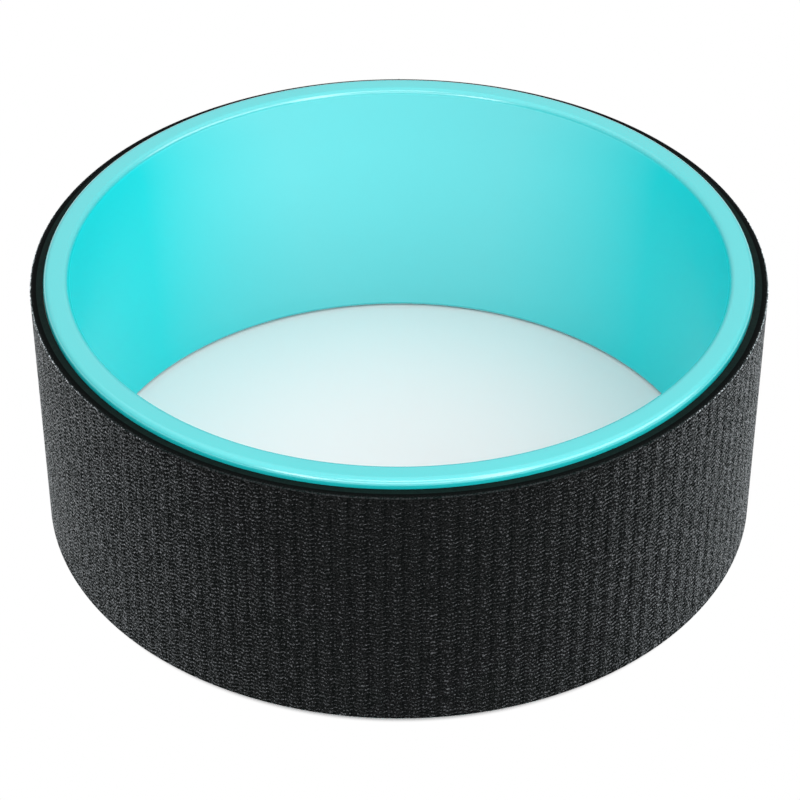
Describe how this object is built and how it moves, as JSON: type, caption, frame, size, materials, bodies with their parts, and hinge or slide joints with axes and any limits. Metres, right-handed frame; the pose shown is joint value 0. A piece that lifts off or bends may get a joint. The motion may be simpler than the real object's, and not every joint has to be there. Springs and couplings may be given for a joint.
{
  "type": "yoga wheel",
  "caption": "Rigid plastic hoop with wide rounded rims and a grained foam mat bonded round the outside, for back stretching, balance work and rolling supports.",
  "frame": {"origin": "centre of the rim that the wheel lies on, on the floor plane", "axes": "+Z is the wheel's axis and points up as it lies on one rim; the mat's butt joint is on the +Y side"},
  "size_m": [0.33, 0.33, 0.13],
  "materials": {
    "hoop_plastic": "glossy turquoise moulded plastic",
    "band_plastic": "plain grey plastic strip",
    "adhesive_film": "milky double-sided film",
    "mat_foam": "black closed-cell foam with a plain cut edge",
    "mat_grain": "black elastomer foam, embossed with a knit-like grain",
    "seam_glue": "black contact glue"
  },
  "bodies": {
    "root": {"core_hoop": "hoop_plastic", "closing_band": "band_plastic", "mat_adhesive": "adhesive_film", "mat_backing": "mat_foam", "mat_face": "mat_grain", "mat_seam_bond": "seam_glue"}
  },
  "joints": []
}
